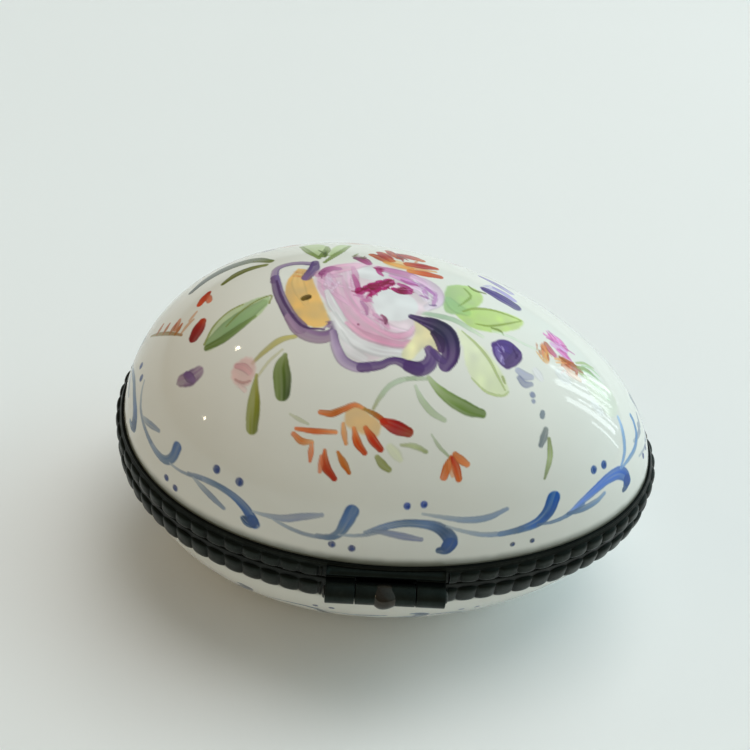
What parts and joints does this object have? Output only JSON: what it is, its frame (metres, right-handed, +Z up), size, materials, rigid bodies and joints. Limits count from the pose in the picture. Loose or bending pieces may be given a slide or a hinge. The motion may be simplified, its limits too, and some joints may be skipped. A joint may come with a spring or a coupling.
{
  "type": "trinket box",
  "caption": "Egg-shaped porcelain trinket box with a hinged lid, two gadrooned metal bezels, a knuckle hinge and a snap clasp.",
  "frame": {"origin": "centre of the flat foot, under the middle of the egg's length", "axes": "+X along the egg towards its narrow end, +Y towards the clasp, +Z up"},
  "size_m": [0.0657, 0.0512, 0.0415],
  "materials": {
    "porcelain": "clear glossy glaze over white porcelain, painted in enamel colours",
    "bezel_metal": "blackened, satin, with worn edges",
    "trim_metal": "blackened gadrooned strip, brighter on the crests",
    "hinge_metal": "blackened, rubbed satin",
    "pin_metal": "dull drawn wire",
    "bonding": "matt white bonding compound"
  },
  "bodies": {
    "base": {"base_shell": "porcelain", "base_bezel": "bezel_metal", "base_gadroon_trim": "trim_metal", "base_bonding_ring": "bonding", "locating_lip": "bezel_metal", "base_hinge_leaf": "hinge_metal", "base_knuckle": "hinge_metal", "hinge_bead": "hinge_metal", "hinge_pin": "pin_metal", "catch_stud": "hinge_metal"},
    "lid": {"lid_shell": "porcelain", "lid_bezel": "bezel_metal", "lid_gadroon_trim": "trim_metal", "lid_bonding_ring": "bonding", "lid_hinge_leaf": "hinge_metal", "lid_knuckle_left": "hinge_metal", "lid_knuckle_right": "hinge_metal", "clasp_plate": "hinge_metal", "clasp_tongue": "hinge_metal"}
  },
  "joints": [
    {"name": "lid_hinge", "type": "hinge", "parent": "base", "child": "lid", "pos_m": [0.00336, -0.02391, 0.019], "axis": [0.9903, 0.1389, 0], "range_deg": [0, 105]}
  ]
}
